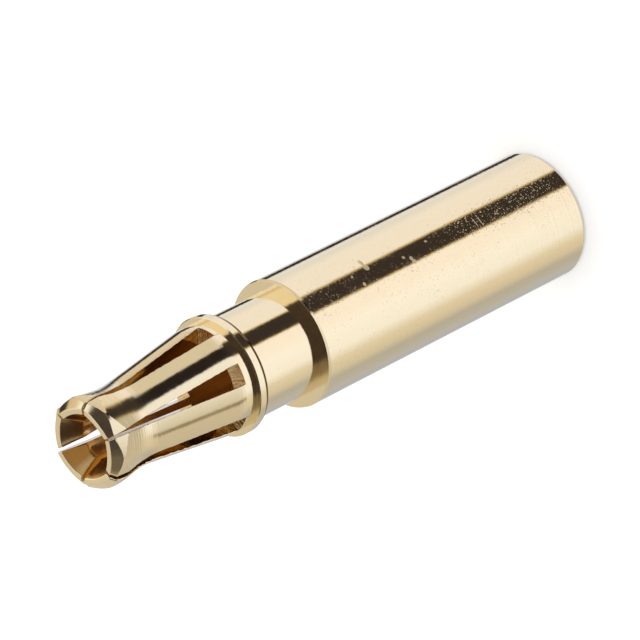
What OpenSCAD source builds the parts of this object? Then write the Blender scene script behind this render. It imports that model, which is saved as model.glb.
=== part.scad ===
// Crimp socket contact, turned from one bar, standing on its rear face.
// The rear face is at z = 0 and the mouth points up. Sizes are in millimetres.

/* [Crimp barrel] */
// Outside diameter of the crimp barrel
barrel_d = 6; // [5.7:0.1:7]
// Length of the crimp barrel, from the rear face to the shoulder
barrel_length = 16.6; // [14:0.1:24]
// Diameter of the hole for the wire
wire_bore_d = 4; // [2:0.1:4.8]
// Depth of the hole for the wire, up to its drill point
wire_bore_depth = 12; // [6:0.1:13]
// Chamfer inside the mouth of the wire hole
wire_chamfer = 0.4; // [0.1:0.05:0.6]
// Chamfer round the rear rim of the barrel
rear_chamfer = 0.15; // [0.05:0.05:0.3]
// Chamfer round the shoulder edge of the barrel
shoulder_chamfer = 0.08; // [0.02:0.02:0.2]
// Angle of the drill point at the end of the wire hole
drill_angle = 118; // [90:1:140]

/* [Neck and collar] */
// Diameter of the neck, where the retaining clip sits
neck_d = 4.9; // [4.2:0.1:5.3]
// Length of the neck, from the shoulder to the collar
neck_length = 3.45; // [2:0.05:6]
// Diameter of the collar
collar_d = 5.56; // [5.4:0.02:5.8]
// Width of the collar along the contact
collar_width = 0.52; // [0.4:0.02:1]
// Chamfer round the front edge of the collar
collar_chamfer = 0.04; // [0.02:0.02:0.14]

/* [Socket tube] */
// Outside diameter of the socket tube, where the slots end
socket_d = 5.04; // [4.8:0.02:5.2]
// Length of the plain ring between the collar and the slot ends
ring_length = 0.48; // [0.4:0.02:1.2]
// Diameter of the hole behind the fingers
socket_bore_d = 3.28; // [3.2:0.02:3.6]
// Depth of the hole behind the slot ends, down to its flat floor
socket_bore_depth = 2.4; // [1:0.1:4]

/* [Spring fingers, as turned] */
// Number of fingers
finger_count = 6; // [5:1:6]
// Length of the fingers, from the slot ends to the front face
finger_length = 7.45; // [6.6:0.05:9]
// Width of the saw cuts between the fingers
slot_width = 0.97; // [0.9:0.01:1.2]
// Diameter of the bore inside the fingers
finger_bore_d = 3.2; // [3.1:0.02:3.3]
// Taper of the outside of the fingers, towards the waist
finger_taper = 1.3; // [0.8:0.1:1.6]
// Smallest diameter, at the waist behind the lip
waist_d = 4.8; // [4.7:0.02:4.86]
// Radius of the hollow flare between the waist and the lip
flare_radius = 5; // [4:0.1:7]
// Largest diameter of the lip
lip_d = 5.62; // [5.4:0.02:5.8]
// Width of the plain crest of the lip
lip_crest = 0.08; // [0.04:0.02:0.2]
// Length of the bevel in front of the lip
lip_bevel = 0.45; // [0.3:0.05:0.6]
// Outside diameter of the flat front face
face_d = 5; // [4.8:0.02:5.2]
// Diameter of the mouth, inside the flat front face
mouth_d = 4.5; // [4.2:0.02:4.7]
// Length of the lead-in funnel behind the mouth
funnel_length = 0.9; // [0.6:0.05:1.2]

/* [Closing of the fingers] */
// Diameter of the pin that the socket takes
pin_d = 2; // [1.9:0.02:2.2]
// How much the contact bore is smaller than the pin, across the diameter
pin_grip = 0.1; // [0.04:0.02:0.14]
// Depth to which the contact bore is sized into each finger
land_depth = 0.04; // [0.02:0.01:0.06]
// Height above the slot ends where the fingers are bent
bend_height = 0.1; // [0.06:0.02:0.3]

/* [Hidden] */
$fn = 96;
gold = "#EBD3A0";
cut_margin = 1;
root_depth = 0.3;

barrel_r = barrel_d / 2;
wire_r = wire_bore_d / 2;
neck_r = neck_d / 2;
collar_r = collar_d / 2;
socket_r = socket_d / 2;
socket_bore_r = socket_bore_d / 2;
finger_bore_r = finger_bore_d / 2;
waist_r = waist_d / 2;
lip_r = lip_d / 2;
contact_r = (pin_d - pin_grip) / 2;

collar_z = barrel_length + neck_length;
ring_z = collar_z + collar_width;
slot_z = ring_z + ring_length;
socket_floor_z = slot_z - socket_bore_depth;
drill_point_z = wire_bore_depth + wire_r / tan(drill_angle / 2);
bend_z = slot_z + bend_height;
front_z = slot_z + finger_length;
funnel_z = front_z - funnel_length;
bevel_z = front_z - lip_bevel;
flare_end_z = bevel_z - lip_crest;
flare_rise = lip_r - waist_r;
waist_z = flare_end_z - sqrt(2 * flare_radius * flare_rise - flare_rise * flare_rise);

// Each finger turns about its bend until the end of its funnel is land_depth inside the contact bore
arm_in = socket_r - finger_bore_r;
arm_up = funnel_z - bend_z;
reach_in = socket_r - contact_r + land_depth;
closing_angle = atan2(arm_up, arm_in) - acos(reach_in / norm([arm_in, arm_up]));

function taper_r(z) = socket_r - (z - bend_z) * tan(finger_taper);

// Half section of the barrel, neck and collar, with the wire hole
module body_section() {
    polygon([
        [wire_r + wire_chamfer, 0],
        [barrel_r - rear_chamfer, 0],
        [barrel_r, rear_chamfer],
        [barrel_r, barrel_length - shoulder_chamfer],
        [barrel_r - shoulder_chamfer, barrel_length],
        [neck_r, barrel_length],
        [neck_r, collar_z],
        [collar_r, collar_z],
        [collar_r, ring_z - collar_chamfer],
        [collar_r - collar_chamfer, ring_z],
        [0, ring_z],
        [0, drill_point_z],
        [wire_r, wire_bore_depth],
        [wire_r, wire_chamfer]
    ]);
}

// Half section of the hole behind the fingers, which runs out into them as a cone
module socket_bore_section() {
    polygon([
        [0, socket_floor_z],
        [socket_bore_r, socket_floor_z],
        [socket_bore_r, bend_z],
        [0, bend_z + socket_bore_r]
    ]);
}

// Half section of the finger tube before it is slotted and closed
module finger_section() {
    root_z = slot_z - root_depth;
    difference() {
        polygon([
            [finger_bore_r, root_z],
            [taper_r(root_z), root_z],
            [taper_r(waist_z), waist_z],
            [lip_r, waist_z],
            [lip_r, bevel_z],
            [face_d / 2, front_z],
            [mouth_d / 2, front_z],
            [finger_bore_r, funnel_z]
        ]);
        translate([waist_r + flare_radius, waist_z])
            circle(flare_radius);
    }
}

// What the saw cuts leave of the tube for one finger, which lies along +X
module finger_wedge() {
    half_angle = 180 / finger_count;
    tip_x = slot_width / 2 / sin(half_angle);
    far_x = lip_r + cut_margin;
    far_y = (far_x - tip_x) * tan(half_angle);
    translate([0, 0, slot_z - root_depth - cut_margin])
        linear_extrude(finger_length + root_depth + 2 * cut_margin)
            polygon([[tip_x, 0], [far_x, -far_y], [far_x, far_y]]);
}

// One finger, bent in towards the axis, with its root below the slot ends
module closed_finger() {
    translate([socket_r, 0, bend_z])
        rotate([0, -closing_angle, 0])
            translate([-socket_r, 0, -bend_z])
                intersection() {
                    rotate_extrude()
                        finger_section();
                    finger_wedge();
                }
}

// The plain ring and all the fingers, turned to the socket diameter up to the bend
module socket_tube() {
    foot_z = ring_z - root_depth;
    difference() {
        union() {
            translate([0, 0, foot_z])
                cylinder(r = socket_r + cut_margin, h = slot_z - foot_z);
            for (i = [0 : finger_count - 1])
                rotate(i * 360 / finger_count)
                    closed_finger();
        }
        rotate_extrude()
            translate([socket_r, foot_z - cut_margin])
                square([2 * cut_margin, bend_z + bend_height - foot_z + cut_margin]);
    }
}

module socket_contact() {
    color(gold)
        difference() {
            union() {
                rotate_extrude()
                    body_section();
                socket_tube();
            }
            rotate_extrude()
                socket_bore_section();
            translate([0, 0, slot_z])
                cylinder(r = contact_r, h = finger_length + cut_margin);
        }
}

socket_contact();
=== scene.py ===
# %% [markdown]
# A crimp socket contact, dressed in Blender
#
# The contact is a small metal part from inside a plug. It is turned from one bar, sawn into six
# spring fingers at the front, closed so that the fingers grip a pin, and plated with gold.
# This lesson loads the exact model of the part, builds a finer mesh in its place, gives that mesh a
# plated finish, and sets it before a camera in a small studio.

# %% Load the exact model
import bmesh
import bpy
import math
import random
from mathutils import Matrix, Vector


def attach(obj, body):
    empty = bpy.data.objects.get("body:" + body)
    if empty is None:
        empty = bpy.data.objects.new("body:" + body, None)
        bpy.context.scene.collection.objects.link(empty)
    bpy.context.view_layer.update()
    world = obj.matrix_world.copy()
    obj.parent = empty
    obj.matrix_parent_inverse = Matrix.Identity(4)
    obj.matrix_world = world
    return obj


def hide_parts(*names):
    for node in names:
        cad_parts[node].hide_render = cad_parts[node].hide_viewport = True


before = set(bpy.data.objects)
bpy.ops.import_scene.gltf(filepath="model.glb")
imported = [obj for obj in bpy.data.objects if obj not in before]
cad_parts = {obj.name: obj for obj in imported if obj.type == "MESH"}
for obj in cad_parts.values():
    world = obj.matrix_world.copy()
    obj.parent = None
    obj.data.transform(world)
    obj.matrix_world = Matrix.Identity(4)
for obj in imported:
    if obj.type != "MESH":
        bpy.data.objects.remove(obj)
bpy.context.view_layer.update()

scene = bpy.context.scene

# %% [markdown]
# The camera comes first, because every later choice is judged through it. The contact stands on its
# rear face, while the picture shows it lying across the frame, so the camera is rolled over. A Track
# To constraint could aim it, but would undo the roll. So three angles give the camera's own axes, and
# it is then moved sideways until the rear face sits right of the picture's centre. A long lens far
# away keeps the barrel's edges almost parallel.

# %% Camera, placed in millimetres
MM = 0.001
CAMERA_AZIMUTH = math.radians(8.702)
CAMERA_ELEVATION = math.radians(38.222)
CAMERA_ROLL = math.radians(-116.792)
CAMERA_DISTANCE = 243.556
REAR_RIGHT_OF_CENTRE = 9.9032
REAR_ABOVE_CENTRE = 4.8063
LENS = 300.54
SENSOR = 36.0
SEEN_FROM, SEEN_TO = 0.01, 10  # in metres

to_camera = Vector((
    math.sin(CAMERA_AZIMUTH) * math.cos(CAMERA_ELEVATION),
    -math.cos(CAMERA_AZIMUTH) * math.cos(CAMERA_ELEVATION),
    math.sin(CAMERA_ELEVATION),
))
level_right = Vector((math.cos(CAMERA_AZIMUTH), math.sin(CAMERA_AZIMUTH), 0))
level_up = to_camera.cross(level_right)
camera_right = math.cos(CAMERA_ROLL) * level_right + math.sin(CAMERA_ROLL) * level_up
camera_up = to_camera.cross(camera_right)
camera_place = (
    CAMERA_DISTANCE * to_camera
    - REAR_RIGHT_OF_CENTRE * camera_right
    - REAR_ABOVE_CENTRE * camera_up
)

camera_data = bpy.data.cameras.new("camera")
camera_data.lens = LENS
camera_data.sensor_width = SENSOR
camera_data.clip_start = SEEN_FROM
camera_data.clip_end = SEEN_TO
camera = bpy.data.objects.new("camera", camera_data)
camera.matrix_world = Matrix.Translation(camera_place * MM) @ Matrix(
    (camera_right, camera_up, to_camera)
).transposed().to_4x4()
scene.collection.objects.link(camera)
scene.camera = camera
print("camera at", [round(value, 1) for value in camera_place], "mm")

# %% [markdown]
# A lathe leaves no perfectly sharp corner, and a corner with a tiny round catches a thin line of
# light. A Bevel modifier would give every corner the same round. So an outline is written as corners
# with their own rounds, and a function turns them into points. Shapes are built in millimetres and
# scaled to metres at the end, because Blender's merge tools round off very small distances.

# %% Helpers for outlines
ROUND_STEPS = 6
LONGEST_STEP = 1.5

def rounded(corners):
    """Points of an outline of (radius, height, corner round), with its corners rounded by arcs."""
    outline = [Vector(corners[0][:2])]
    for before, here, after in zip(corners, corners[1:], corners[2:]):
        middle = Vector(here[:2])
        if here[2] == 0:
            outline.append(middle)
            continue
        back = (Vector(before[:2]) - middle).normalized()
        ahead = (Vector(after[:2]) - middle).normalized()
        half_angle = back.angle(ahead) / 2
        reach = here[2] / math.tan(half_angle)
        centre = middle + (back + ahead).normalized() * here[2] / math.sin(half_angle)
        start = middle + back * reach - centre
        turn = start.angle_signed(middle + ahead * reach - centre)
        for step in range(ROUND_STEPS + 1):
            arm = start.copy()
            arm.rotate(Matrix.Rotation(-turn * step / ROUND_STEPS, 2))
            outline.append(centre + arm)
    outline.append(Vector(corners[-1][:2]))
    return outline

def shortened(outline):
    """The same outline, with more points along any step longer than the longest step."""
    path = [outline[0]]
    for start, end in zip(outline, outline[1:]):
        parts = max(1, math.ceil((end - start).length / LONGEST_STEP))
        path += [start.lerp(end, part / parts) for part in range(1, parts + 1)]
    return path

def spread(start, end, count):
    """Values from start to end in equal steps, with both ends."""
    return [start + (end - start) * step / count for step in range(count + 1)]

print("a rounded corner has", ROUND_STEPS + 1, "points")

# %% [markdown]
# Behind the slots, the contact is a turned shape: a crimp barrel with a hole for the wire, a neck for a
# retaining clip, a collar and a plain ring. A Screw modifier could sweep its outline, but the fingers
# grow out of the ring's last row, so rows are laid one by one later. The sizes repeat those of the exact
# model. R is a radius, and heights count from the rear face.

# %% Outline of the turned body
BARREL_R, BARREL_END = 3.0, 16.6
WIRE_R, WIRE_DEPTH, WIRE_POINT = 2.0, 12.0, 13.2
WIRE_CHAMFER = 0.4
REAR_CHAMFER = 0.15
SHOULDER_CHAMFER = (0.04, 0.11)
NECK_R = 2.45
COLLAR_R, COLLAR_Z = 2.78, 20.05
COLLAR_CHAMFER = 0.04
COLLAR_RELIEF = (0.06, 0.16)
RING_Z = 20.57
SOCKET_R = 2.52
SLOT_Z = 21.05

body_outline = shortened(rounded([
    (0, WIRE_POINT, 0),
    (WIRE_R, WIRE_DEPTH, 0.05),
    (WIRE_R, WIRE_CHAMFER, 0.05),
    (WIRE_R + WIRE_CHAMFER, 0, 0.03),
    (BARREL_R - REAR_CHAMFER, 0, 0.06),
    (BARREL_R, REAR_CHAMFER, 0.06),
    (BARREL_R, BARREL_END - SHOULDER_CHAMFER[1], 0.03),
    (BARREL_R - SHOULDER_CHAMFER[0], BARREL_END, 0.015),
    (NECK_R, BARREL_END, 0),
    (NECK_R, COLLAR_Z, 0.012),
    (COLLAR_R - COLLAR_RELIEF[0], COLLAR_Z, 0.01),
    (COLLAR_R, COLLAR_Z + COLLAR_RELIEF[1], 0.04),
    (COLLAR_R, RING_Z - COLLAR_CHAMFER, 0.02),
    (COLLAR_R - COLLAR_CHAMFER, RING_Z, 0.008),
    (SOCKET_R, RING_Z, 0),
    (SOCKET_R, SLOT_Z, 0),
]))
print("the outline has", len(body_outline), "points")

# %% [markdown]
# A finger is a turned shape too, of which a slice is left between two saw cuts. Its outside tapers to
# a waist and flares to a lip. Its inside is a bore with a funnel at the mouth. A curve could draw
# this, but its handles would hide the sizes, so three short functions give the radius at any height.
# Taper and flare are blended, because a lathe tool has a round nose.

# %% Radius of a finger at a height, before it is closed
BEND_Z = 21.15
TAPER = math.tan(math.radians(1.3))
WAIST_BLEND = 0.2
FLARE = math.tan(math.radians(15.2))
LIP_R, FLARE_END = 2.83, 27.97
SOCKET_BORE_R = 1.64
FINGER_BORE_R = 1.6
MOUTH_R = 2.25
FUNNEL_Z = 27.6
FRONT_Z = 28.5

def outside_r(z):
    """Outside radius of the fingers up to the lip: a taper and a flare, blended at the waist."""
    taper = SOCKET_R - max(0, z - BEND_Z) * TAPER
    flare = LIP_R - (FLARE_END - z) * FLARE
    blend = max(0, WAIST_BLEND - abs(taper - flare))
    return max(taper, flare) + blend ** 2 / (4 * WAIST_BLEND)

def inside_r(z):
    """Inside radius of the fingers behind the funnel: a short step at the root, then the bore."""
    return min(SOCKET_BORE_R, max(FINGER_BORE_R, SOCKET_BORE_R - (z - BEND_Z)))

def funnel_r(z):
    """Inside radius of the funnel."""
    return FINGER_BORE_R + (MOUTH_R - FINGER_BORE_R) * (z - FUNNEL_Z) / (FRONT_Z - FUNNEL_Z)

print("radius at the lip:", round(outside_r(FLARE_END), 3), "and at the mouth:", funnel_r(FRONT_Z))

# %% [markdown]
# The bevel in front of the lip is broad in the middle of a finger and narrow at its edges. A Boolean
# cut could make that, but it would leave ragged faces. So there are two outlines with equal numbers
# of stations, and every row of points will run from one to the other. Stations lie close together at
# the root, where the finger is bent, and at the tip, where its shape is richest.

# %% Outlines over the middle and over the edge of a finger
ROOT_STATIONS, ROOT_STEP = 12, 0.05
ARM_START, ARM_END, ARM_STEPS = 21.75, 25.45, 28
FLARE_START, FLARE_STEPS = 25.6, 16
BORE_END, BORE_STEPS = 27.0, 7
LAND_START, LAND_MIDDLE, LAND_END = 27.23, 27.45, 27.69
FUNNEL_MIDDLE = 28.1
FUNNEL_STATIONS = 2
FACE_R = 2.5
LIP_ROUND, CREST_ROUND, FACE_ROUND, MOUTH_ROUND = 0.15, 0.1, 0.09, 0.07
MIDDLE_CREST = (2.81, 28.05)
EDGE_LIP, EDGE_CREST = 27.55, (2.73, 28.25)

root_heights = [SLOT_Z + ROOT_STEP * step for step in range(ROOT_STATIONS)]
arm_heights = root_heights + spread(ARM_START, ARM_END, ARM_STEPS)
bore_heights = spread(FLARE_START, BORE_END, BORE_STEPS) + [LAND_START, LAND_MIDDLE, FUNNEL_Z]
inside = [Vector((inside_r(z), z)) for z in arm_heights + bore_heights]

def finger_outline(lip_z, crest):
    """Stations over a finger: up its outside to the lip, over the crest and the tip, down its bore."""
    flare_heights = spread(FLARE_START, lip_z, FLARE_STEPS)[:-1]
    outside = [Vector((outside_r(z), z)) for z in arm_heights + flare_heights]
    tip = rounded([
        (*outside.pop(), 0),
        (outside_r(lip_z), lip_z, LIP_ROUND),
        (*crest, CREST_ROUND),
        (FACE_R, FRONT_Z, FACE_ROUND),
        (MOUTH_R, FRONT_Z, MOUTH_ROUND),
        (funnel_r(FUNNEL_MIDDLE), FUNNEL_MIDDLE, 0),
        (funnel_r(LAND_END), LAND_END, 0),
    ])
    return outside + tip + inside[::-1]

over_middle = finger_outline(FLARE_END, MIDDLE_CREST)
over_edge = finger_outline(EDGE_LIP, EDGE_CREST)
print("a finger has", len(over_middle), "stations")

# %% [markdown]
# One sixth of the contact is enough: a sector with one finger and half a saw cut on each side. A
# Boolean would cut slots quickly, but leave long thin faces that shade badly. So rows of points are
# joined by neat faces. The sides of a saw cut are parallel, so the finger gets narrower towards the
# axis.

# %% Rows of points and faces
FINGERS = 6
SECTOR = 2 * math.pi / FINGERS
SLOT_WIDTH, TIP_SLOT_WIDTH = 0.97, 0.88
FINGER_COLUMNS = 24
SLOT_COLUMNS = 6

points, faces, cuts = [], [], []

def half_width(radius, z):
    """Half the angle that a finger spans at a radius and height, between its two saw cuts."""
    share = (z - SLOT_Z) / (FRONT_Z - SLOT_Z)
    slot = SLOT_WIDTH + (TIP_SLOT_WIDTH - SLOT_WIDTH) * share
    return SECTOR / 2 - math.asin(slot / 2 / radius)

def sector_angles(radius):
    """Angles across the whole sector, with a finger of that radius in the middle."""
    edge = half_width(radius, SLOT_Z)
    return (
        spread(-SECTOR / 2, -edge, SLOT_COLUMNS)[:-1]
        + spread(-edge, edge, FINGER_COLUMNS)
        + spread(edge, SECTOR / 2, SLOT_COLUMNS)[1:]
    )

def add_points(new_points):
    """Add points, and return their numbers."""
    first = len(points)
    points.extend(tuple(point) for point in new_points)
    return list(range(first, len(points)))

def add_row(radius, z, angles):
    """Add a row of points at one radius and height. On the axis, the row is one point used often."""
    if radius == 0:
        return add_points([(0, 0, z)]) * len(angles)
    return add_points((radius * math.cos(a), radius * math.sin(a), z) for a in angles)

def join_rows(lower, upper, cut_kind):
    """Join two rows by faces, with three corners where two points of a row are one."""
    for a, b, c, d in zip(lower, lower[1:], upper[1:], upper):
        corners = list(dict.fromkeys((a, b, c, d)))
        if len(corners) > 2:
            faces.append(corners)
            cuts.append(cut_kind)

print("one finger every", round(math.degrees(SECTOR)), "degrees")

# %% [markdown]
# The body of the sector has its outside, the wire hole, and the hole behind the fingers. At the top,
# the ring is left open where the finger will stand, and closed on both sides of it, where the saw
# cuts end. Each face notes how it was cut, and the finish reads that later.

# %% Body of one sector
TURNED, SAWN, BORED, SLOT_END = 0, 1, 2, 3
SOCKET_FLOOR = 18.65
SLACK = 0.01

outer_angles = sector_angles(SOCKET_R)
inner_angles = sector_angles(SOCKET_BORE_R)
finger_part = slice(SLOT_COLUMNS, SLOT_COLUMNS + FINGER_COLUMNS + 1)
slot_parts = slice(0, SLOT_COLUMNS + 1), slice(SLOT_COLUMNS + FINGER_COLUMNS, None)

body_rows = [add_row(p.x, p.y, outer_angles) for p in body_outline]
for upper_point, lower, upper in zip(body_outline[1:], body_rows, body_rows[1:]):
    join_rows(lower, upper, BORED if upper_point.x <= WIRE_R + SLACK else TURNED)

bore_top = add_row(SOCKET_BORE_R, SLOT_Z, inner_angles)
bore_foot = add_row(SOCKET_BORE_R, SOCKET_FLOOR, inner_angles)
join_rows(bore_top, bore_foot, BORED)
join_rows(bore_foot, add_row(0, SOCKET_FLOOR, inner_angles), BORED)
for slot_part in slot_parts:
    join_rows(body_rows[-1][slot_part], bore_top[slot_part], SLOT_END)
print("the body of the sector has", len(points), "points and", len(faces), "faces")

# %% [markdown]
# The edges beside the saw cuts are broken, or they would look cut from paper. A Bevel modifier
# tangles at the tip, where the edge turns in steps shorter than the bevel. So each row of the finger
# ends in a small arc that touches the turned surface and the sawn wall. It grows towards the tip, and
# varies a little from row to row, as a filed edge does.

# %% Broken edges of a finger
ARM_BREAK, TIP_BREAK = 0.03, 0.06
BREAK_STARTS = 0.3
FILED_LEAST, FILED_MOST = 0.4, 1.6
EDGE_STEPS = 4
filing = random.Random(6)

def edge_break(z):
    """Radius of the broken edge at a height."""
    growth = min(1, max(0, (z - FLARE_START) / (FLARE_END - FLARE_START)))
    root = min(1, (z - SLOT_Z) / BREAK_STARTS)
    return root * (ARM_BREAK + (TIP_BREAK - ARM_BREAK) * growth)

def edge_arc(station, facing, side):
    """Points of the broken edge of a finger at one station, from the surface to the sawn wall."""
    angle = side * half_width(station.x, station.y)
    outward = Vector((math.cos(angle), math.sin(angle), 0))
    corner = outward * station.x + Vector((0, 0, station.y))
    surface = outward * facing.x + Vector((0, 0, facing.y))
    wall = Vector((-math.sin(SECTOR / 2), side * math.cos(SECTOR / 2), 0))
    size = edge_break(station.y) * filing.uniform(FILED_LEAST, FILED_MOST)
    centre = corner - (surface + wall) * size / (1 + surface.dot(wall))
    return [centre + surface.slerp(wall, step / EDGE_STEPS) * size for step in range(EDGE_STEPS + 1)]

print("edges are broken by", ARM_BREAK, "to", TIP_BREAK, "mm")

# %% [markdown]
# The finger stands on the last row of the body, runs up its outside, over the tip, and down its bore.
# Each of its sawn walls is one large flat face, apart from the root, where it is split into strips
# because it will be bent there.

# %% Finger of one sector
CORNER_CURVE = 1.4

def finger_row(number):
    """Add a row across the finger, from edge to middle to edge, with an arc at each end."""
    middle, edge = over_middle[number], over_edge[number]
    heading = (over_edge[number + 1] - over_edge[number - 1]).normalized()
    left, right = (edge_arc(edge, Vector((heading.y, -heading.x)), side) for side in (-1, 1))
    widest = math.atan2(right[0].y, right[0].x)
    between = []
    for share in spread(-1, 1, FINGER_COLUMNS)[1:-1]:
        station = middle.lerp(edge, abs(share) ** CORNER_CURVE)
        angle = share * widest
        between.append(Vector((station.x * math.cos(angle), station.x * math.sin(angle), station.y)))
    return add_points(left[::-1] + between + right)

def root_row(row):
    """The row of the body on which a finger grows, where its edges are not broken yet."""
    return [row[0]] * EDGE_STEPS + row + [row[-1]] * EDGE_STEPS

finger_rows = [root_row(body_rows[-1][finger_part])]
finger_rows += [finger_row(number) for number in range(1, len(over_middle) - 1)]
finger_rows.append(root_row(bore_top[finger_part]))

first_bored = len(over_middle) - len(inside) - FUNNEL_STATIONS - 1
for number, (lower, upper) in enumerate(zip(finger_rows, finger_rows[1:])):
    join_rows(lower, upper, TURNED if number < first_bored else BORED)
for side in (0, -1):
    wall_edge = [row[side] for row in finger_rows]
    join_rows(wall_edge[:ROOT_STATIONS], wall_edge[:-ROOT_STATIONS - 1:-1], SAWN)
    faces.append(wall_edge[ROOT_STATIONS - 1:len(wall_edge) - ROOT_STATIONS + 1])
    cuts.append(SAWN)

sector_mesh = bpy.data.meshes.new("sector")
sector_mesh.from_pydata(points, [], faces)
cut_note = sector_mesh.attributes.new("cut", "INT", "FACE")
cut_note.data.foreach_set("value", cuts)
sector = bpy.data.objects.new("sector", sector_mesh)
print("the sector has", len(points), "points and", len(faces), "faces")

# %% [markdown]
# A material could be put together in the Shader Editor. In a script, one small function adds any
# node, with its settings and links. A list fills its inputs in order: those of a Map Range are a
# value, the range that it comes from and the range that it goes to. A Mix node has sockets for every
# kind of data under the same names, so those for colours go by number. Another function turns an sRGB
# hex code to the linear values that Blender mixes.

# %% Helpers for materials
MIX_FACTOR, MIX_FIRST, MIX_SECOND, MIXED = 0, 6, 7, 2
BRIGHT_GOLD = "#F4E4C0"

def linear(code):
    """Linear colour of an sRGB hex code."""
    parts = [int(code[i:i + 2], 16) / 255 for i in (1, 3, 5)]
    return tuple(
        part / 12.92 if part <= 0.04045 else ((part + 0.055) / 1.055) ** 2.4 for part in parts
    ) + (1,)

def add_node(tree, kind, inputs=(), **settings):
    """Add a node with its settings, and fill or link its inputs, in order or by name or number."""
    made = tree.nodes.new(kind)
    for name, value in settings.items():
        setattr(made, name, value)
    for key, value in inputs.items() if isinstance(inputs, dict) else enumerate(inputs):
        if isinstance(value, bpy.types.Node):
            value = value.outputs[0]
        if isinstance(value, bpy.types.NodeSocket):
            tree.links.new(value, made.inputs[key])
        else:
            made.inputs[key].default_value = value
    return made

print("bright gold in linear values:", [round(part, 3) for part in linear(BRIGHT_GOLD)])

# %% [markdown]
# The finish is bright gold plating over turned metal. To the eye it is a warm mirror that takes its
# look from what it reflects. So it is simple at heart: full metallic, a pale gold, a low roughness.
# The plating is thousandths of a millimetre thin, so marks of the tools show through it. An image
# texture would need unwrapping, so patterns are worked out from a point's place and from how its face
# was cut.

# %% Gold plating: where a point lies, and how it was cut
SAME_WITHIN = 0.5

gold = bpy.data.materials.new("gold_plating")
gold.use_nodes = True
gold_tree = gold.node_tree
gold_tree.nodes.clear()
place = add_node(gold_tree, "ShaderNodeTexCoord")
in_mm = add_node(
    gold_tree, "ShaderNodeVectorMath", {0: place.outputs["Object"], "Scale": 1 / MM}, operation="SCALE"
)
axes = add_node(gold_tree, "ShaderNodeSeparateXYZ", [in_mm])
height = axes.outputs["Z"]
across = add_node(gold_tree, "ShaderNodeVectorMath", [in_mm, (1, 1, 0)], operation="MULTIPLY")
radius = add_node(gold_tree, "ShaderNodeVectorMath", [across], operation="LENGTH").outputs["Value"]
cut = add_node(gold_tree, "ShaderNodeAttribute", attribute_name="cut")
sawn, bored, slot_end = (
    add_node(gold_tree, "ShaderNodeMath", [cut.outputs["Fac"], kind, SAME_WITHIN], operation="COMPARE")
    for kind in (SAWN, BORED, SLOT_END)
)
print("kinds of cut:", [TURNED, SAWN, BORED, SLOT_END])

# %% [markdown]
# A lathe tool leaves fine rings. They are too shallow to model, so they go into a bump: a height that
# only tilts the reflection. Real rings lie about 0.03 mm apart, too fine to show, so they are drawn
# coarser. They are noise along radius plus height, which runs up the barrel and across its flat faces
# alike. They are deepest on the flares, and faint in the reamed bores.

# %% Gold plating: rings of the lathe
RING_PITCH = 0.14
RING_DEPTH, FLARE_RING_DEPTH, FACE_RING_DEPTH = 0.0018, 0.008, 0.004
FLARE_RINGS_FROM, FLARE_RINGS_TO = 24.6, 26.0
FACE_FROM, FACE_TO = 0.8, 0.95
BORE_RINGS = 0.15

along = add_node(gold_tree, "ShaderNodeMath", [radius, height], operation="ADD")
rings = add_node(
    gold_tree, "ShaderNodeTexNoise",
    {"W": along, "Scale": 1 / RING_PITCH, "Detail": 1.5},
    noise_dimensions="1D",
)
side_depth = add_node(
    gold_tree, "ShaderNodeMapRange",
    [height, FLARE_RINGS_FROM, FLARE_RINGS_TO, RING_DEPTH, FLARE_RING_DEPTH],
)
facing = add_node(gold_tree, "ShaderNodeSeparateXYZ", [place.outputs["Normal"]])
ring_depth = add_node(
    gold_tree, "ShaderNodeMapRange",
    [facing.outputs["Z"], FACE_FROM, FACE_TO, side_depth, FACE_RING_DEPTH],
)
ring_share = add_node(gold_tree, "ShaderNodeMath", [bored, BORE_RINGS - 1, 1.0], operation="MULTIPLY_ADD")
ring_part = add_node(gold_tree, "ShaderNodeMath", [ring_share, ring_depth], operation="MULTIPLY")
ring_relief = add_node(
    gold_tree, "ShaderNodeMath", [rings.outputs["Fac"], ring_part], operation="MULTIPLY"
)
print("rings every", RING_PITCH, "mm,", RING_DEPTH, "to", FLARE_RING_DEPTH, "mm deep")

# %% [markdown]
# The saw leaves streaks on the ends of the slots, from the outside to the bore. They are noise laid
# out flat round the axis and stretched along the radius. Real streaks are about 0.02 mm wide. These
# are drawn wider and deeper, or they would not show in so small a place.

# %% Gold plating: streaks of the saw
STREAK_WIDTH, STREAK_DEPTH = 0.05, 0.08
STREAK_STRETCH = 0.08
HALF_WAVE = 0.5

angle_round = add_node(
    gold_tree, "ShaderNodeMath", [axes.outputs["Y"], axes.outputs["X"]], operation="ARCTAN2"
)
arc = add_node(gold_tree, "ShaderNodeMath", [angle_round, SOCKET_R], operation="MULTIPLY")
stretched = add_node(gold_tree, "ShaderNodeMath", [radius, STREAK_STRETCH], operation="MULTIPLY")
saw_place = add_node(gold_tree, "ShaderNodeCombineXYZ", {"X": arc, "Y": height, "Z": stretched})
streaks = add_node(
    gold_tree, "ShaderNodeTexNoise",
    {"Vector": saw_place, "Scale": HALF_WAVE / STREAK_WIDTH, "Detail": 2.0},
)
streak_part = add_node(gold_tree, "ShaderNodeMath", [slot_end, STREAK_DEPTH], operation="MULTIPLY")
tool_relief = add_node(
    gold_tree, "ShaderNodeMath",
    [streaks.outputs["Fac"], streak_part, ring_relief],
    operation="MULTIPLY_ADD",
)
print("streaks", STREAK_WIDTH, "mm wide")

# %% [markdown]
# Plating grows a little unevenly, which makes the mirror softly wavy. Loose contacts also rub on each
# other, and the barrel has two long scuffs on its near side. They could be painted by hand on an
# unwrapped mesh. A soft spot, placed in millimetres, needs neither.

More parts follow.
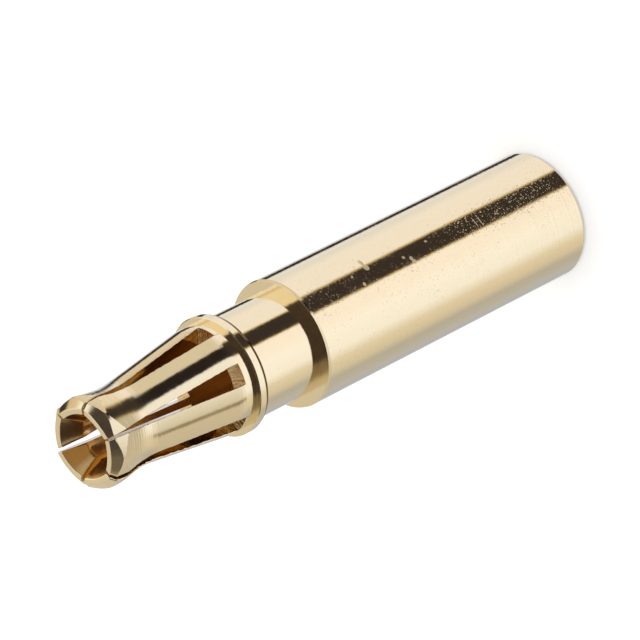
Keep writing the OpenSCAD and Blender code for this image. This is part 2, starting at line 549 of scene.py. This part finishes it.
# %% Gold plating: waviness and scuffs
WAVE_SIZE, WAVE_DEPTH = 0.4, 0.0026
SCUFFS = [((1.39, -2.66, 4.0), (0.9, 0.9, 4.0), 1.0), ((1.39, -2.66, 15.2), (0.7, 0.7, 2.2), 0.6)]
SCUFF_EDGE = (1.1, 0.7)

waves = add_node(
    gold_tree, "ShaderNodeTexNoise", {"Vector": in_mm, "Scale": 1 / WAVE_SIZE, "Detail": 4.0}
)
wavy_relief = add_node(
    gold_tree, "ShaderNodeMath", [waves.outputs["Fac"], WAVE_DEPTH, tool_relief], operation="MULTIPLY_ADD"
)

def add_spot(middle, reach, edge, strength):
    """Add a soft spot: its strength inside, 0 outside, and an edge in shares of its reach."""
    offset = add_node(gold_tree, "ShaderNodeVectorMath", [in_mm, middle], operation="SUBTRACT")
    share = add_node(gold_tree, "ShaderNodeVectorMath", [offset, reach], operation="DIVIDE")
    way = add_node(gold_tree, "ShaderNodeVectorMath", [share], operation="LENGTH")
    return add_node(
        gold_tree, "ShaderNodeMapRange",
        [way.outputs["Value"], edge[0], edge[1], 0.0, strength],
        interpolation_type="SMOOTHSTEP",
    )

rear_scuff, front_scuff = (add_spot(middle, reach, SCUFF_EDGE, much) for middle, reach, much in SCUFFS)
scuffed = add_node(gold_tree, "ShaderNodeMath", [rear_scuff, front_scuff], operation="MAXIMUM")
print("waves", WAVE_SIZE, "mm long, and", len(SCUFFS), "scuffs")

# %% [markdown]
# Rubbing leaves tiny pits, crowded in the scuffs and in scattered patches, and faint in front of the
# shoulder. Real ones are from 0.02 mm across, and these are drawn at about twice that, so that they
# show. Modelling them would take millions of faces. They are fine noise above a threshold, and a
# scuff raises the noise.

# %% Gold plating: pits
PIT_SIZE, PIT_DEPTH = 0.045, 0.004
PIT_RIM, PIT_FLOOR = 0.62, 0.74
CROWDING = 0.035
PATCH_SIZE, PATCH_STRENGTH = 1.6, 0.6
PATCH_FROM, PATCH_TO = 0.44, 0.6
PITS_FADE_FROM, PITS_FADE_TO = 16.5, 16.7
FADED_DEPTH = 0.1 * PIT_DEPTH

grains = add_node(
    gold_tree, "ShaderNodeTexNoise",
    {"Vector": in_mm, "Scale": HALF_WAVE / PIT_SIZE, "Detail": 3.0, "Roughness": 0.6},
)
crowded = add_node(
    gold_tree, "ShaderNodeMath", [scuffed, CROWDING, grains.outputs["Fac"]], operation="MULTIPLY_ADD"
)
pits = add_node(
    gold_tree, "ShaderNodeMapRange", [crowded, PIT_RIM, PIT_FLOOR], interpolation_type="SMOOTHSTEP"
)
patches = add_node(
    gold_tree, "ShaderNodeTexNoise", {"Vector": in_mm, "Scale": 1 / PATCH_SIZE, "Detail": 2.0}
)
patched = add_node(
    gold_tree, "ShaderNodeMapRange", [patches.outputs["Fac"], PATCH_FROM, PATCH_TO, 0.0, PATCH_STRENGTH]
)
deepest = add_node(
    gold_tree, "ShaderNodeMapRange", [height, PITS_FADE_FROM, PITS_FADE_TO, PIT_DEPTH, FADED_DEPTH]
)
worn = add_node(gold_tree, "ShaderNodeMath", [patched, scuffed], operation="MAXIMUM")
pit_depth = add_node(gold_tree, "ShaderNodeMath", [worn, deepest], operation="MULTIPLY")
pit_relief = add_node(gold_tree, "ShaderNodeMath", [pits, pit_depth], operation="MULTIPLY")
whole_relief = add_node(gold_tree, "ShaderNodeMath", [wavy_relief, pit_relief], operation="SUBTRACT")
tilted = add_node(gold_tree, "ShaderNodeBump", {"Height": whole_relief, "Distance": MM})
print("pits", PIT_SIZE, "mm across and up to", PIT_DEPTH, "mm deep")

# %% [markdown]
# Gold has nearly one colour all over. Painted shade makes it deeper in pits, on sawn walls and in the
# bores, standing in for light that has met gold more than once. Painted shade also darkens the collar's
# rear, where it meets the neck, and the rear rim is painted a darker brown. Vertex colours could hold
# this, but their edges would follow the mesh. Heights and the notes on the cuts give clean edges.

# %% Gold plating: colour, with painted shade
# The pit, sawn-wall and bore golds are painted shade: deeper gold standing in for light that meets gold
# more than once.
PIT_SHADE_GOLD, SAWN_SHADE_GOLD, BORE_SHADE_GOLD, DEEP_BROWN = "#E6CC9A", "#E6C688", "#DEBB88", "#6A5034"
# The dark brown is painted shade behind the collar, and it also paints the rear rim darker.
COLLAR_SHADE_START = COLLAR_Z - 0.005
COLLAR_SHADE_FROM, COLLAR_SHADE_TO = COLLAR_Z + 0.13, COLLAR_Z + 0.17
# Heights over which the rear rim is painted darker brown.
RIM_DARK_FROM, RIM_DARK_TO = 0.09, 0.13
RIM_DARKNESS = 0.8

# Painted shade: a dark brown band over the collar's rear face and relief, where the collar meets the
# neck.
below_crest = add_node(
    gold_tree, "ShaderNodeMapRange", [height, COLLAR_SHADE_FROM, COLLAR_SHADE_TO, 1.0, 0.0]
)
on_collar = add_node(gold_tree, "ShaderNodeMath", [height, COLLAR_SHADE_START], operation="GREATER_THAN")
collar_painted_shade = add_node(gold_tree, "ShaderNodeMath", [below_crest, on_collar], operation="MULTIPLY")
# The rear rim is painted darker brown up to 0.09 mm above the rear face, fading out by 0.13 mm.
rim_darkening = add_node(
    gold_tree, "ShaderNodeMapRange", [height, RIM_DARK_FROM, RIM_DARK_TO, RIM_DARKNESS, 0.0]
)
# The painted shade behind the collar and the darker rear rim, joined into one mask.
darkened = add_node(gold_tree, "ShaderNodeMath", [collar_painted_shade, rim_darkening], operation="MAXIMUM")
colour = linear(BRIGHT_GOLD)
# Painted shade: pits, sawn walls and bores get deeper gold, and the collar's rear gets dark brown. The
# rear rim is painted darker.
for where, code in ((pits, PIT_SHADE_GOLD), (darkened, DEEP_BROWN), (sawn, SAWN_SHADE_GOLD), (bored, BORE_SHADE_GOLD)):
    colour = add_node(
        gold_tree, "ShaderNodeMix",
        {MIX_FACTOR: where, MIX_FIRST: colour, MIX_SECOND: linear(code)},
        data_type="RGBA",
    ).outputs[MIXED]
print("gold", BRIGHT_GOLD, "with", [PIT_SHADE_GOLD, DEEP_BROWN, SAWN_SHADE_GOLD, BORE_SHADE_GOLD], "in places")

# %% [markdown]
# Roughness says how sharp the mirror is, and polished metal lies near 0.1. One value all over would
# look like foil, so it varies with the waviness, and it is higher at the tips, which rub on the pin,
# on the slot ends and in the drilled bores.

# %% Gold plating: gloss
WAVE_LOW, WAVE_HIGH = 0.3, 0.7
GLOSSIEST, DULLEST = 0.07, 0.12
TIP_FROM, TIP_TO, TIP_DULLER = 25.2, 26.4, 0.05
SLOT_DULLER = 0.1
DRILLED_FROM, DRILLED_TO, DRILLED_DULLER = 26.4, 27.2, 0.2

plain_gloss = add_node(
    gold_tree, "ShaderNodeMapRange", [waves.outputs["Fac"], WAVE_LOW, WAVE_HIGH, GLOSSIEST, DULLEST]
)
tip_duller = add_node(gold_tree, "ShaderNodeMapRange", [height, TIP_FROM, TIP_TO, 0.0, TIP_DULLER])
tip_gloss = add_node(gold_tree, "ShaderNodeMath", [plain_gloss, tip_duller], operation="ADD")
slot_gloss = add_node(
    gold_tree, "ShaderNodeMath", [slot_end, SLOT_DULLER, tip_gloss], operation="MULTIPLY_ADD"
)
bore_duller = add_node(
    gold_tree, "ShaderNodeMapRange", [height, DRILLED_FROM, DRILLED_TO, DRILLED_DULLER, 0.0]
)
roughness = add_node(
    gold_tree, "ShaderNodeMath", [bored, bore_duller, slot_gloss], operation="MULTIPLY_ADD"
)
print("roughness from", GLOSSIEST, "to", round(DULLEST + DRILLED_DULLER, 2))

# %% [markdown]
# Two scratches and a few nicks cross the near side of the barrel. They could be cut into the mesh,
# but at hundredths of a millimetre a small rough spot looks the same: it scatters the mirror, and
# shows pale on a dark reflection. Then the shader takes colour, gloss and bump together.

# %% Gold plating: scratches, nicks and the shader
MARK_EDGE = (1.0, 0.7)
MARK_ROUGHNESS = 0.5
SCRATCHES = [
    ((1.337, -2.686, 5.634), (0.34, 0.34, 0.035)),
    ((1.380, -2.664, 5.923), (0.34, 0.34, 0.035)),
]
NICKS = [
    ((1.984, -2.250, 12.541), (0.22, 0.22, 0.11)),
    ((1.7, -2.472, 12.521), (0.2, 0.2, 0.16)),
    ((1.619, -2.525, 13.507), (0.06, 0.06, 0.07)),
    ((1.134, -2.778, 13.200), (0.12, 0.12, 0.09)),
    ((1.393, -2.657, 10.508), (0.09, 0.09, 0.09)),
    ((1.217, -2.742, 10.175), (0.13, 0.13, 0.11)),
    ((1.035, -2.816, 10.127), (0.12, 0.12, 0.14)),
    ((1.580, -2.550, 8.898), (0.07, 0.07, 0.09)),
]

for middle, reach in SCRATCHES + NICKS:
    mark = add_spot(middle, reach, MARK_EDGE, MARK_ROUGHNESS)
    roughness = add_node(gold_tree, "ShaderNodeMath", [roughness, mark], operation="MAXIMUM")
plating = add_node(
    gold_tree, "ShaderNodeBsdfPrincipled",
    {"Base Color": colour, "Metallic": 1.0, "Roughness": roughness, "Normal": tilted},
)
add_node(gold_tree, "ShaderNodeOutputMaterial", {"Surface": plating})
print("gold plating has", len(gold_tree.nodes), "nodes")

# %% [markdown]
# Six sectors make the contact. They differ only by the chances of sawing and closing: how far each
# finger was bent in, and how far the saw wandered along its edges. Six copies could be bent by hand.
# Geometry Nodes do it from one list: a seat for each finger, a point that carries its differences.

# %% Seats of the six fingers
EXTRA_CLOSING = [0.8, 0.1, -1.2, -0.92, -0.3, 0.2]  # in degrees
LOW_EDGE_SHIFT = [0.0, 0.0, 0.0, -0.12, 0.0, -0.05]  # in millimetres at the tip
HIGH_EDGE_SHIFT = [0.0, 0.0, 0.0, 0.08, 0.0, -0.05]

seat_mesh = bpy.data.meshes.new("seats")
seat_mesh.from_pydata([(0, 0, 0)] * FINGERS, [], [])
for name, values in (
    ("extra_closing", [math.radians(degrees) for degrees in EXTRA_CLOSING]),
    ("low_edge_shift", LOW_EDGE_SHIFT),
    ("high_edge_shift", HIGH_EDGE_SHIFT),
):
    seat_note = seat_mesh.attributes.new(name, "FLOAT", "POINT")
    seat_note.data.foreach_set("value", values)
contact = bpy.data.objects.new("plated_contact", seat_mesh)
scene.collection.objects.link(contact)
print("extra closing in degrees:", EXTRA_CLOSING)

# %% [markdown]
# The tree has a named input for each of its sizes, so that it would serve a contact of another size.
# It sets a copy of the sector on each seat, turned a sixth further each time, and notes that turn.
# Realize Instances makes them one mesh, because instances can't be bent point by point.

# %% Geometry Nodes: inputs, and six copies of the sector
closer = bpy.data.node_groups.new("close_fingers", "GeometryNodeTree")
sockets = {}
for name, kind in (
    ("Seats", "NodeSocketGeometry"),
    ("Sector", "NodeSocketObject"),
    ("Closing Angle", "NodeSocketFloat"),
    ("Bend Start", "NodeSocketFloat"),
    ("Bend Length", "NodeSocketFloat"),
    ("Bend Radius", "NodeSocketFloat"),
    ("Finger Length", "NodeSocketFloat"),
    ("Sizing Radius", "NodeSocketFloat"),
    ("Material", "NodeSocketMaterial"),
):
    sockets[name] = closer.interface.new_socket(name, in_out="INPUT", socket_type=kind)
closer.interface.new_socket("Contact", in_out="OUTPUT", socket_type="NodeSocketGeometry")
given = add_node(closer, "NodeGroupInput").outputs

one_sector = add_node(closer, "GeometryNodeObjectInfo", {"Object": given["Sector"]})
seat_number = add_node(closer, "GeometryNodeInputIndex")
turn_of_seat = add_node(closer, "ShaderNodeMath", [seat_number, SECTOR], operation="MULTIPLY")
turned_to = add_node(closer, "ShaderNodeCombineXYZ", {"Z": turn_of_seat})
noted_seats = add_node(
    closer, "GeometryNodeStoreNamedAttribute",
    {"Geometry": given["Seats"], "Name": "seat_turn", "Value": turn_of_seat},
    data_type="FLOAT", domain="POINT",
)
copies = add_node(
    closer, "GeometryNodeInstanceOnPoints",
    {"Points": noted_seats, "Instance": one_sector.outputs["Geometry"], "Rotation": turned_to},
)
six_sectors = add_node(closer, "GeometryNodeRealizeInstances", [copies])
print("the tree has", len(sockets), "inputs")

# %% [markdown]
# Each point is first turned back to where its sector was built, with the finger along +X. There,
# sideways is simply Y. So the wandering of the saw is a shift in Y that grows from root to tip, and
# runs from the shift of one edge to that of the other.

# %% Geometry Nodes: edges where the saw wandered
HALF_FINGER = 1.0

seat_turn, extra_closing, low_shift, high_shift = (
    add_node(closer, "GeometryNodeInputNamedAttribute", {"Name": name}, data_type="FLOAT")
    for name in ("seat_turn", "extra_closing", "low_edge_shift", "high_edge_shift")
)
point = add_node(closer, "GeometryNodeInputPosition")
turn_back = add_node(closer, "ShaderNodeMath", [seat_turn, -1.0], operation="MULTIPLY")
as_built = add_node(
    closer, "ShaderNodeVectorRotate", {"Vector": point, "Angle": turn_back}, rotation_type="Z_AXIS"
)
built_axes = add_node(closer, "ShaderNodeSeparateXYZ", [as_built])
point_axes = add_node(closer, "ShaderNodeSeparateXYZ", [point])
above_root = add_node(
    closer, "ShaderNodeMath", [point_axes.outputs["Z"], given["Bend Start"]], operation="SUBTRACT"
)
tip_shift = add_node(
    closer, "ShaderNodeMapRange",
    [built_axes.outputs["Y"], -HALF_FINGER, HALF_FINGER, low_shift, high_shift],
)
way_up = add_node(closer, "ShaderNodeMapRange", {"Value": above_root, "From Max": given["Finger Length"]})
shift = add_node(closer, "ShaderNodeMath", [tip_shift, way_up], operation="MULTIPLY")
sideways = add_node(closer, "ShaderNodeCombineXYZ", {"Y": shift})
wandered = add_node(closer, "ShaderNodeVectorMath", [as_built, sideways], operation="ADD")
print("edges move by up to", max(map(abs, LOW_EDGE_SHIFT + HIGH_EDGE_SHIFT)), "mm")

# %% [markdown]
# A finger is bent near its root, over about half a millimetre. One turn would crease it, and a Simple
# Deform modifier would bend all of it. So a few short bends share the angle. Each turns what lies
# above it, and less what lies within it. The highest comes first, because the lower pivots have not
# moved then.

# %% Geometry Nodes: closing the fingers
BENDS = 3
HALFWAY = 0.5

whole_bend = add_node(closer, "ShaderNodeMath", [given["Closing Angle"], extra_closing], operation="ADD")
one_bend = add_node(closer, "ShaderNodeMath", [whole_bend, -1 / BENDS], operation="MULTIPLY")
bent = wandered
for bend in reversed(range(BENDS)):
    past = add_node(
        closer, "ShaderNodeMath", [given["Bend Length"], -bend, above_root], operation="MULTIPLY_ADD"
    )
    bend_share = add_node(
        closer, "ShaderNodeMapRange",
        {"Value": past, "From Max": given["Bend Length"]},
        interpolation_type="SMOOTHSTEP",
    )
    lean = add_node(closer, "ShaderNodeMath", [one_bend, bend_share], operation="MULTIPLY")
    pivot_height = add_node(
        closer, "ShaderNodeMath",
        [given["Bend Length"], bend + HALFWAY, given["Bend Start"]],
        operation="MULTIPLY_ADD",
    )
    pivot = add_node(closer, "ShaderNodeCombineXYZ", {"X": given["Bend Radius"], "Z": pivot_height})
    bent = add_node(
        closer, "ShaderNodeVectorRotate",
        {"Vector": bent, "Center": pivot, "Angle": lean},
        rotation_type="Y_AXIS",
    )
on_seat = add_node(
    closer, "ShaderNodeVectorRotate", {"Vector": bent, "Angle": seat_turn}, rotation_type="Z_AXIS"
)
closed = add_node(closer, "GeometryNodeSetPosition", {0: six_sectors, "Position": on_seat})
print("each finger is closed in", BENDS, "bends")

# %% [markdown]
# The closed fingers are sized on a pin, which opens the bore where it has become too small. A Boolean
# would cut new faces there. Instead, any point of a finger nearer to the axis than the pin's radius
# is pushed straight out to it. Then the seams are welded, and the mesh gets its material.

# %% Geometry Nodes: sizing, welding and plating
WELD = 0.0005

closed_point = add_node(closer, "GeometryNodeInputPosition")
closed_axes = add_node(closer, "ShaderNodeSeparateXYZ", [closed_point])
level = add_node(closer, "ShaderNodeVectorMath", [closed_point, (1, 1, 0)], operation="MULTIPLY")
from_axis = add_node(closer, "ShaderNodeVectorMath", [level], operation="LENGTH").outputs["Value"]
too_near = add_node(closer, "ShaderNodeMath", [from_axis, given["Sizing Radius"]], operation="LESS_THAN")
on_finger = add_node(
    closer, "ShaderNodeMath", [closed_axes.outputs["Z"], given["Bend Start"]], operation="GREATER_THAN"
)
pressed = add_node(closer, "ShaderNodeMath", [too_near, on_finger], operation="MULTIPLY")
missing = add_node(closer, "ShaderNodeMath", [given["Sizing Radius"], from_axis], operation="SUBTRACT")
outward = add_node(closer, "ShaderNodeVectorMath", [level], operation="NORMALIZE")
push = add_node(closer, "ShaderNodeVectorMath", {0: outward, "Scale": missing}, operation="SCALE")
sized = add_node(closer, "GeometryNodeSetPosition", {0: closed, "Selection": pressed, "Offset": push})
welded = add_node(closer, "GeometryNodeMergeByDistance", {0: sized, "Distance": WELD})
plated = add_node(closer, "GeometryNodeSetMaterial", {0: welded, "Material": given["Material"]})
add_node(closer, "NodeGroupOutput", [plated])
print("the tree has", len(closer.nodes), "nodes")

# %% [markdown]
# A modifier runs the tree on the seats. Its inputs are set by the sockets' identifiers, because names
# may be shared. What it makes is kept as a plain mesh, and the modifier is removed.

# %% Close the contact
CLOSING = math.radians(6.385)
BEND_LENGTH = 0.2
CONTACT_R = 0.95

closing = contact.modifiers.new("close_fingers", "NODES")
closing.node_group = closer
for name, value in (
    ("Sector", sector),
    ("Closing Angle", CLOSING),
    ("Bend Start", SLOT_Z),
    ("Bend Length", BEND_LENGTH),
    ("Bend Radius", SOCKET_R),
    ("Finger Length", FRONT_Z - SLOT_Z),
    ("Sizing Radius", CONTACT_R),
    ("Material", gold),
):
    closing[sockets[name].identifier] = value

def fix_shape(piece):
    """Replace a piece's mesh by what its modifiers make of it, and remove the modifiers."""
    made = bpy.data.meshes.new_from_object(piece.evaluated_get(bpy.context.evaluated_depsgraph_get()))
    piece.modifiers.clear()
    piece.data = made

fix_shape(contact)
print("six sectors welded:", len(contact.data.vertices), "points,", len(contact.data.polygons), "faces")

# %% [markdown]
# Smooth shading would bend the light on a broad face towards the small round beside it, and flat
# shading would show every facet. A Weighted Normal modifier lets the larger face decide, so flats
# stay flat and only the rounds turn. Then the mesh is scaled to metres, and stands where the exact
# model stands.

# %% Shade and place the contact
SHARP_FROM = math.radians(38)

shape = bmesh.new()
shape.from_mesh(contact.data)
bmesh.ops.recalc_face_normals(shape, faces=shape.faces)
open_edges = sum(1 for edge in shape.edges if len(edge.link_faces) != 2)
shape.to_mesh(contact.data)
shape.free()
contact.data.shade_smooth()
contact.data.set_sharp_from_angle(angle=SHARP_FROM)
flats = contact.modifiers.new("flats", "WEIGHTED_NORMAL")
flats.keep_sharp = True
fix_shape(contact)
contact.data.transform(Matrix.Scale(MM, 4))
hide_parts("socket_contact")
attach(contact, "root")
print("open edges:", open_edges, "faces:", len(contact.data.polygons))

# %% [markdown]
# The contact stands on white paper: an even, matt white with a soft shadow. A lamp strong enough to
# make it pure white would burn out the metal, so the paper glows a little, only for rays that look at
# it. It lies a hair below the rear face, or the two would flicker in one plane. The metal doesn't
# mirror the floor, because in the picture the barrel shows light panels all the way round.

# %% Floor of white paper
FLOOR_REACH = 1.0  # in metres
FLOOR_GAP = 0.02
PAPER_WHITE = "#F2F2F2"
PAPER_GLOW = 0.3
WHITE = (1, 1, 1, 1)

floor_mesh = bpy.data.meshes.new("floor")
floor_mesh.from_pydata(
    [(x * FLOOR_REACH, y * FLOOR_REACH, 0) for x, y in ((-1, -1), (1, -1), (1, 1), (-1, 1))],
    [], [(0, 1, 2, 3)],
)
floor_mesh.transform(Matrix.Translation((0, 0, -FLOOR_GAP * MM)))
floor = bpy.data.objects.new("floor", floor_mesh)
scene.collection.objects.link(floor)
floor.visible_glossy = False

paper = bpy.data.materials.new("white_paper")
paper.use_nodes = True
paper_tree = paper.node_tree
paper_tree.nodes.clear()
paper_ray = add_node(paper_tree, "ShaderNodeLightPath")
looked_at = paper_ray.outputs["Is Camera Ray"]
for kind in ("Is Glossy Ray", "Is Transmission Ray"):
    looked_at = add_node(
        paper_tree, "ShaderNodeMath", [looked_at, paper_ray.outputs[kind]], operation="MAXIMUM"
    )
matt = add_node(paper_tree, "ShaderNodeBsdfDiffuse", {"Color": linear(PAPER_WHITE)})
glow = add_node(paper_tree, "ShaderNodeEmission", {"Color": WHITE, "Strength": PAPER_GLOW})
both = add_node(paper_tree, "ShaderNodeAddShader", [matt, glow])
seen = add_node(paper_tree, "ShaderNodeMixShader", [looked_at, matt, both])
add_node(paper_tree, "ShaderNodeOutputMaterial", {"Surface": seen})
floor_mesh.materials.append(paper)
print("floor", 2 * FLOOR_REACH, "m across")

# %% [markdown]
# Polished metal is photographed in a tent of white panels. Area lamps could stand in for them, but
# each would need a place and a size. Here the world is the tent, and two angles tell a direction: the
# turn, from the camera's side round the upright contact, and the rise above the horizon. Only mirror
# rays see the tent. To the camera and the floor, the world is plain white.

# %% Tent: where a mirror ray goes
FULL_TURN, HALF_TURN = 360, 180

tent = bpy.data.worlds.new("tent")
scene.world = tent
tent.use_nodes = True
tent_tree = tent.node_tree
tent_tree.nodes.clear()
ray_way = add_node(tent_tree, "ShaderNodeTexCoord").outputs["Generated"]
from_camera = add_node(
    tent_tree, "ShaderNodeMapping", {"Vector": ray_way, "Rotation": (0, 0, math.pi / 2 - CAMERA_AZIMUTH)}
)
turn_share = add_node(
    tent_tree, "ShaderNodeTexGradient", {"Vector": from_camera}, gradient_type="RADIAL"
).outputs["Fac"]
turn_angle = add_node(
    tent_tree, "ShaderNodeMath", [turn_share, FULL_TURN, -HALF_TURN], operation="MULTIPLY_ADD"
)
way_axes = add_node(tent_tree, "ShaderNodeSeparateXYZ", [ray_way])
slope = add_node(tent_tree, "ShaderNodeMath", [way_axes.outputs["Z"]], operation="ARCSINE")
rise_angle = add_node(tent_tree, "ShaderNodeMath", [slope], operation="DEGREES")
heading_to = add_node(tent_tree, "ShaderNodeCombineXYZ", {"X": turn_angle, "Y": rise_angle})
scene.view_settings.view_transform = "Standard"
print("turn 0 is the camera's side, at azimuth", round(math.degrees(CAMERA_AZIMUTH), 1), "degrees")

# %% [markdown]
# The panels run round the tent in two rows, as colour ramps over the turn. Barrel, neck and ring
# mirror the low row, because the camera looks down on them. The fingers lean, and mirror more of the
# high row. Each stop has a turn, a brightness and a tint, which shifts red, green and blue a little,
# as cloth does in warm or cool light.

# %% Tent: panels
PLAIN = (1.0, 1.0, 1.0)
WARM = (1.07, 1.0, 0.87)
COOL = (0.98, 1.0, 1.09)
ROSY = (1.015, 0.99, 1.06)
BLUISH = (0.93, 1.0, 1.17)
GOLDEN = (1.18, 1.0, 0.72)
LOW_PANELS = [
    (-180, 0.80, COOL), (-155, 0.50, BLUISH), (-136, 0.55, COOL), (-104, 0.52, PLAIN),
    (-90, 0.68, WARM), (-72, 0.78, WARM), (-52, 1.07, COOL), (-20, 1.13, COOL),
    (0, 1.08, ROSY), (16, 1.07, ROSY), (60, 0.985, ROSY), (100, 0.985, ROSY),
    (122, 0.86, COOL), (135, 0.92, COOL), (150, 0.76, COOL), (180, 0.80, COOL),
]
HIGH_PANELS = [
    (-180, 0.65, WARM), (-110, 0.58, WARM), (-70, 0.62, WARM), (-40, 0.85, PLAIN), (0, 1.0, COOL),
    (24, 1.02, COOL), (50, 0.71, WARM), (95, 0.70, WARM), (130, 0.64, GOLDEN), (180, 0.65, WARM),
]
LOW_ROW_ENDS, HIGH_ROW_STARTS = -36, -26
READY_STOPS = 2  # in a new ramp

def toned(brightness, tint):
    """Colour of a panel or gap, from its brightness and the tint of its light."""
    return (*(brightness * part for part in tint), 1)

rows = []
for stops in (LOW_PANELS, HIGH_PANELS):
    ramp = add_node(tent_tree, "ShaderNodeValToRGB", {"Fac": turn_share})
    ramp_stops = ramp.color_ramp.elements
    for number, (degrees, brightness, tint) in enumerate(stops):
        stop = ramp_stops[number] if number < READY_STOPS else ramp_stops.new(1)
        stop.position = (degrees + HALF_TURN) / FULL_TURN
        stop.color = toned(brightness, tint)
    rows.append(ramp)
up = add_node(
    tent_tree, "ShaderNodeMapRange",
    [rise_angle, LOW_ROW_ENDS, HIGH_ROW_STARTS],
    interpolation_type="SMOOTHSTEP",
)
mirrored = add_node(
    tent_tree, "ShaderNodeMix",
    {MIX_FACTOR: up, MIX_FIRST: rows[0], MIX_SECOND: rows[1]},
    data_type="RGBA",
).outputs[MIXED]
print("the tent has", len(LOW_PANELS), "low and", len(HIGH_PANELS), "high panel tones")

# %% [markdown]
# White panels alone would make the metal look like plaster. A photographer leaves dark gaps and adds
# cards, because crisp dark stripes tell the eye that a barrel is round and polished. Each has a
# brightness, a tint and some edges. An edge is so much turn plus so much rise, with the value where
# the gap hasn't begun and the value where it is full. A gap is where all its edges are past, and
# later gaps cover earlier ones.

# %% Tent: gaps and cards
DIM = (1.32, 1.0, 0.96)
AMBER = (1.45, 1.0, 0.42)
BROWN = (1.5, 1.0, 0.7)
HONEY = (1.3, 1.0, 0.35)
TAN = (1.2, 1.0, 0.75)
GAPS = [
    # Weaker light from far below, which the flares of the fingers mirror, weakest on the lower side
    (0.80, WARM, [(0, 1, -41, -50)]),
    (0.54, WARM, [(0, 1, -41, -50), (1, 0, 60, 40), (1, 0, -178, -140)]),
    # White card for the upper part of the shoulder's and the collar's front face
    (1.02, PLAIN, [(1, 0, 64, 74), (1, 0, 140, 120), (0, 1, 8, 20)]),
    # Dark stripe along the arms of the fingers
    (0.018, DIM, [(1, 0, 20, 23.5), (1, 0, 48.5, 44.5), (0, 1, -41, -37)]),
    # Dark stripe along the barrel, the neck and the collar, with a golden fringe
    (0.45, HONEY, [(1, 0, 18.5, 21.5), (1, 0.75, -11.5, -8.5), (1, 0.38, 45, 42), (0, 1, -34.5, -37)]),
    (0.034, DIM, [(1, 0, 20.5, 24), (1, 0.75, -9.5, -6), (1, 0.38, 42.2, 39), (0, 1, -29, -34)]),
    # Opening for the camera: the dark band of the shoulder, and the bevels at the finger tips
    (0.038, DIM, [(1, 0, -116, -66), (1, 0, 72, 66), (0, 1, 15, 29), (0, 1, 78, 66)]),
    # White card for the front face of the lowest finger
    (1.0, PLAIN, [(1, 0, 136, 144), (1, 0, 172, 166), (0, 1, 29, 33), (0, 1, 46, 41)]),
    # Soft lower end of the shoulder's dark band, and the bevel of the lower near finger
    (0.22, GOLDEN, [(1, 0, -128, -104), (1, 0, -62, -84), (0, 1, 36, 38), (0, 1, 43, 41)]),
    (0.12, TAN, [(1, 0, -112, -96), (1, 0, -68, -76), (0, 1, 22, 26), (0, 1, 37, 35)]),
    # Cards for the far funnels: amber in the lower one, brown in the upper one
    (0.290, AMBER, [(1, 0, 2, 14), (1, 0, 54, 44), (0, 1, 12, 19), (0, 1, 31, 26)]),
    (0.036, BROWN, [(1, 0, -105, -88), (1, 0, -46, -54), (0, 1, 4, 9), (0, 1, 30, 22)]),
    # Dark line along the upper edge of the whole contact
    (0.027, WARM, [(1, 0, 136.5, 141), (1, 0, 157, 152), (0, 1, -47, -43), (0, 1, 8, 0)]),
    # Thin streak on the arm of the lower near finger
    (0.280, GOLDEN, [(1, 0, -73, -68), (1, 0, -60.5, -65.5), (0, 1, -38, -28), (0, 1, -8, -14)]),
]

for brightness, tint, gap_edges in GAPS:
    in_gap = None
    for turn_part, rise_part, outside_at, inside_at in gap_edges:
        measure = add_node(
            tent_tree, "ShaderNodeVectorMath",
            [heading_to, (turn_part, rise_part, 0)],
            operation="DOT_PRODUCT",
        ).outputs["Value"]
        past_edge = add_node(
            tent_tree, "ShaderNodeMapRange",
            [measure, outside_at, inside_at],
            interpolation_type="SMOOTHSTEP",
        )
        if in_gap:
            past_edge = add_node(tent_tree, "ShaderNodeMath", [in_gap, past_edge], operation="MULTIPLY")
        in_gap = past_edge
    mirrored = add_node(
        tent_tree, "ShaderNodeMix",
        {MIX_FACTOR: in_gap, MIX_FIRST: mirrored, MIX_SECOND: toned(brightness, tint)},
        data_type="RGBA",
    ).outputs[MIXED]
tent_ray = add_node(tent_tree, "ShaderNodeLightPath")
tent_tone = add_node(
    tent_tree, "ShaderNodeMix",
    {MIX_FACTOR: tent_ray.outputs["Is Glossy Ray"], MIX_FIRST: WHITE, MIX_SECOND: mirrored},
    data_type="RGBA",
).outputs[MIXED]
tent_light = add_node(tent_tree, "ShaderNodeBackground", {"Color": tent_tone})
add_node(tent_tree, "ShaderNodeOutputWorld", {"Surface": tent_light})
print("the tent has", len(GAPS), "gaps and cards")
